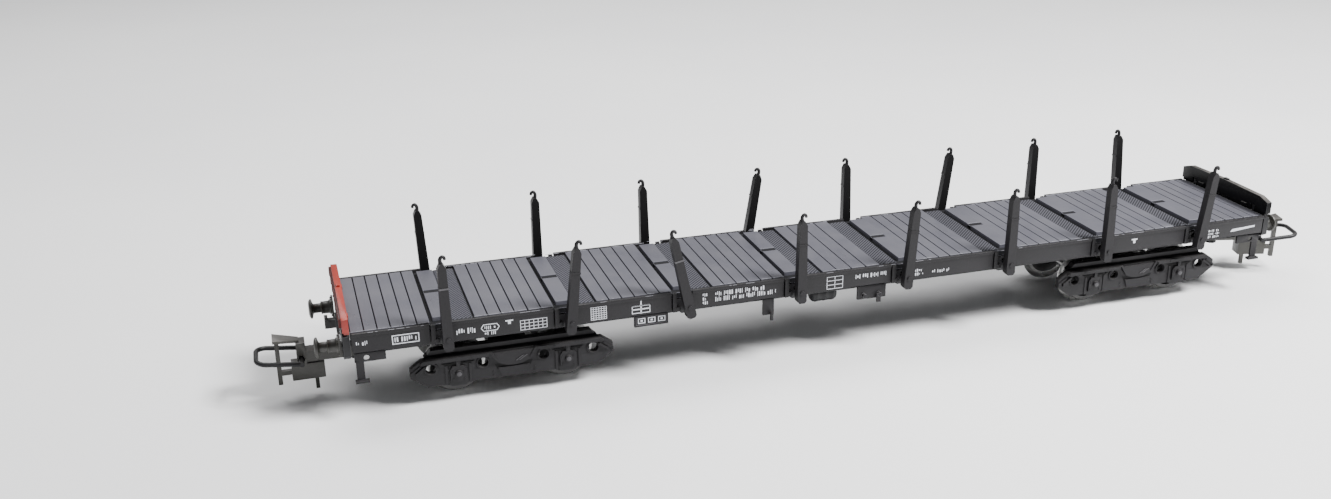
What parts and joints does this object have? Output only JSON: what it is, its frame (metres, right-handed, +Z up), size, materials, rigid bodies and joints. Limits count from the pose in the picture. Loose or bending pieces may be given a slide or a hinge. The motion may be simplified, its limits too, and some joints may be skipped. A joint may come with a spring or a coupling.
{
  "type": "model flat car",
  "caption": "Scale railway flat car with a planked load floor, folding side stakes, fold-down ends, swivelling bogies, sprung-look buffers and hooked loop couplers.",
  "frame": {"origin": "under the middle of the car, at the level of the bottom of the wheel flanges", "axes": "+X along the car towards its right-hand end, +Y across it towards the far side, +Z up"},
  "size_m": [0.2527, 0.0358, 0.034],
  "materials": {
    "deck_grey": "mid grey moulded plastic, satin",
    "charcoal": "charcoal moulded plastic, satin",
    "black": "black moulded plastic, slightly olive, satin",
    "brick_red": "brick red moulded plastic, satin",
    "bright_steel": "bright turned steel",
    "white_print": "thin white printed lines and blocks"
  },
  "bodies": {
    "chassis": {"deck": "deck_grey", "side_sill_near": "charcoal", "side_sill_far": "charcoal", "underframe": "black", "ballast_plate": "bright_steel", "air_reservoir": "black", "changeover_plate_near": "black", "changeover_plate_far": "black", "label_plate_near": "black", "label_plate_far": "black", "release_lever_near": "black", "bogie_screw_left": "bright_steel", "bogie_screw_right": "bright_steel", "headstock_left": "black", "headstock_right": "black", "buffer_left_near": "black", "end_step_left_near": "black", "buffer_left_far": "black", "end_step_left_far": "black", "buffer_right_near": "black", "end_step_right_near": "black", "buffer_right_far": "black", "end_step_right_far": "black"},
    "stake_near_1": {"stake_near_1": "charcoal"},
    "stake_far_1": {"stake_far_1": "charcoal"},
    "stake_near_2": {"stake_near_2": "charcoal"},
    "stake_far_2": {"stake_far_2": "charcoal"},
    "stake_near_3": {"stake_near_3": "charcoal"},
    "stake_far_3": {"stake_far_3": "charcoal"},
    "stake_near_4": {"stake_near_4": "charcoal"},
    "stake_far_4": {"stake_far_4": "charcoal"},
    "stake_near_5": {"stake_near_5": "charcoal"},
    "stake_far_5": {"stake_far_5": "charcoal"},
    "stake_near_6": {"stake_near_6": "charcoal"},
    "stake_far_6": {"stake_far_6": "charcoal"},
    "stake_near_7": {"stake_near_7": "charcoal"},
    "stake_far_7": {"stake_far_7": "charcoal"},
    "stake_near_8": {"stake_near_8": "charcoal"},
    "stake_far_8": {"stake_far_8": "charcoal"},
    "bogie_left": {"bogie_frame_left": "charcoal"},
    "wheelset_left_a": {"axle_left_a": "bright_steel", "wheel_left_a_near": "bright_steel", "wheel_left_a_far": "bright_steel"},
    "wheelset_left_b": {"axle_left_b": "bright_steel", "wheel_left_b_near": "bright_steel", "wheel_left_b_far": "bright_steel"},
    "end_wall_left": {"end_wall_left": "brick_red"},
    "coupler_left": {"coupler_head_left": "black"},
    "loop_left": {"coupler_loop_left": "black"},
    "bogie_right": {"bogie_frame_right": "charcoal"},
    "wheelset_right_a": {"axle_right_a": "bright_steel", "wheel_right_a_near": "bright_steel", "wheel_right_a_far": "bright_steel"},
    "wheelset_right_b": {"axle_right_b": "bright_steel", "wheel_right_b_near": "bright_steel", "wheel_right_b_far": "bright_steel"},
    "end_wall_right": {"end_wall_right": "black"},
    "coupler_right": {"coupler_head_right": "black"},
    "loop_right": {"coupler_loop_right": "black"}
  },
  "joints": [
    {"name": "stake_near_1_fold", "type": "hinge", "parent": "chassis", "child": "stake_near_1", "pos_m": [-0.08855, -0.0158, 0.016], "axis": [0, 1, 0], "range_deg": [-11, 91]},
    {"name": "stake_far_1_fold", "type": "hinge", "parent": "chassis", "child": "stake_far_1", "pos_m": [-0.08855, 0.0158, 0.016], "axis": [0, 1, 0], "range_deg": [-87, 15]},
    {"name": "stake_near_2_fold", "type": "hinge", "parent": "chassis", "child": "stake_near_2", "pos_m": [-0.06325, -0.0158, 0.016], "axis": [0, 1, 0], "range_deg": [-18, 84]},
    {"name": "stake_far_2_fold", "type": "hinge", "parent": "chassis", "child": "stake_far_2", "pos_m": [-0.06325, 0.0158, 0.016], "axis": [0, 1, 0], "range_deg": [-90, 12]},
    {"name": "stake_near_3_fold", "type": "hinge", "parent": "chassis", "child": "stake_near_3", "pos_m": [-0.03795, -0.0158, 0.016], "axis": [0, 1, 0], "range_deg": [0, 102]},
    {"name": "stake_far_3_fold", "type": "hinge", "parent": "chassis", "child": "stake_far_3", "pos_m": [-0.03795, 0.0158, 0.016], "axis": [0, 1, 0], "range_deg": [-89, 13]},
    {"name": "stake_near_4_fold", "type": "hinge", "parent": "chassis", "child": "stake_near_4", "pos_m": [-0.01265, -0.0158, 0.016], "axis": [0, 1, 0], "range_deg": [-12, 90]},
    {"name": "stake_far_4_fold", "type": "hinge", "parent": "chassis", "child": "stake_far_4", "pos_m": [-0.01265, 0.0158, 0.016], "axis": [0, 1, 0], "range_deg": [-99, 3]},
    {"name": "stake_near_5_fold", "type": "hinge", "parent": "chassis", "child": "stake_near_5", "pos_m": [0.01265, -0.0158, 0.016], "axis": [0, 1, 0], "range_deg": [-16, 86]},
    {"name": "stake_far_5_fold", "type": "hinge", "parent": "chassis", "child": "stake_far_5", "pos_m": [0.01265, 0.0158, 0.016], "axis": [0, 1, 0], "range_deg": [-89, 13]},
    {"name": "stake_near_6_fold", "type": "hinge", "parent": "chassis", "child": "stake_near_6", "pos_m": [0.03795, -0.0158, 0.016], "axis": [0, 1, 0], "range_deg": [-12, 90]},
    {"name": "stake_far_6_fold", "type": "hinge", "parent": "chassis", "child": "stake_far_6", "pos_m": [0.03795, 0.0158, 0.016], "axis": [0, 1, 0], "range_deg": [-97, 5]},
    {"name": "stake_near_7_fold", "type": "hinge", "parent": "chassis", "child": "stake_near_7", "pos_m": [0.06325, -0.0158, 0.016], "axis": [0, 1, 0], "range_deg": [-11, 91]},
    {"name": "stake_far_7_fold", "type": "hinge", "parent": "chassis", "child": "stake_far_7", "pos_m": [0.06325, 0.0158, 0.016], "axis": [0, 1, 0], "range_deg": [-90, 12]},
    {"name": "stake_near_8_fold", "type": "hinge", "parent": "chassis", "child": "stake_near_8", "pos_m": [0.08855, -0.0158, 0.016], "axis": [0, 1, 0], "range_deg": [-18, 84]},
    {"name": "stake_far_8_fold", "type": "hinge", "parent": "chassis", "child": "stake_far_8", "pos_m": [0.08855, 0.0158, 0.016], "axis": [0, 1, 0], "range_deg": [-86, 16]},
    {"name": "bogie_left_swivel", "type": "hinge", "parent": "chassis", "child": "bogie_left", "pos_m": [-0.075, 0, 0.01], "axis": [0, 0, 1], "range_deg": [-15, 15]},
    {"name": "wheelset_left_a_roll", "type": "hinge", "parent": "bogie_left", "child": "wheelset_left_a", "pos_m": [-0.0865, 0, 0.0065], "axis": [0, 1, 0], "continuous": true},
    {"name": "wheelset_left_b_roll", "type": "hinge", "parent": "bogie_left", "child": "wheelset_left_b", "pos_m": [-0.0635, 0, 0.0065], "axis": [0, 1, 0], "continuous": true},
    {"name": "end_wall_left_fold", "type": "hinge", "parent": "chassis", "child": "end_wall_left", "pos_m": [-0.10815, 0, 0.0195], "axis": [0, -1, 0], "range_deg": [0, 90]},
    {"name": "coupler_left_swing", "type": "hinge", "parent": "chassis", "child": "coupler_left", "pos_m": [-0.1058, 0, 0.0093], "axis": [0, 0, 1], "range_deg": [-18, 18]},
    {"name": "loop_left_lift", "type": "hinge", "parent": "coupler_left", "child": "loop_left", "pos_m": [-0.117, 0, 0.0089], "axis": [0, 1, 0], "range_deg": [0, 35]},
    {"name": "bogie_right_swivel", "type": "hinge", "parent": "chassis", "child": "bogie_right", "pos_m": [0.075, 0, 0.01], "axis": [0, 0, 1], "range_deg": [-15, 15]},
    {"name": "wheelset_right_a_roll", "type": "hinge", "parent": "bogie_right", "child": "wheelset_right_a", "pos_m": [0.0635, 0, 0.0065], "axis": [0, 1, 0], "continuous": true},
    {"name": "wheelset_right_b_roll", "type": "hinge", "parent": "bogie_right", "child": "wheelset_right_b", "pos_m": [0.0865, 0, 0.0065], "axis": [0, 1, 0], "continuous": true},
    {"name": "end_wall_right_fold", "type": "hinge", "parent": "chassis", "child": "end_wall_right", "pos_m": [0.10815, 0, 0.0195], "axis": [0, 1, 0], "range_deg": [0, 90]},
    {"name": "coupler_right_swing", "type": "hinge", "parent": "chassis", "child": "coupler_right", "pos_m": [0.1058, 0, 0.0093], "axis": [0, 0, 1], "range_deg": [-2, 34]},
    {"name": "loop_right_lift", "type": "hinge", "parent": "coupler_right", "child": "loop_right", "pos_m": [0.11657, -0.00309, 0.0089], "axis": [-0.2756, -0.9613, 0], "range_deg": [0, 35]}
  ]
}
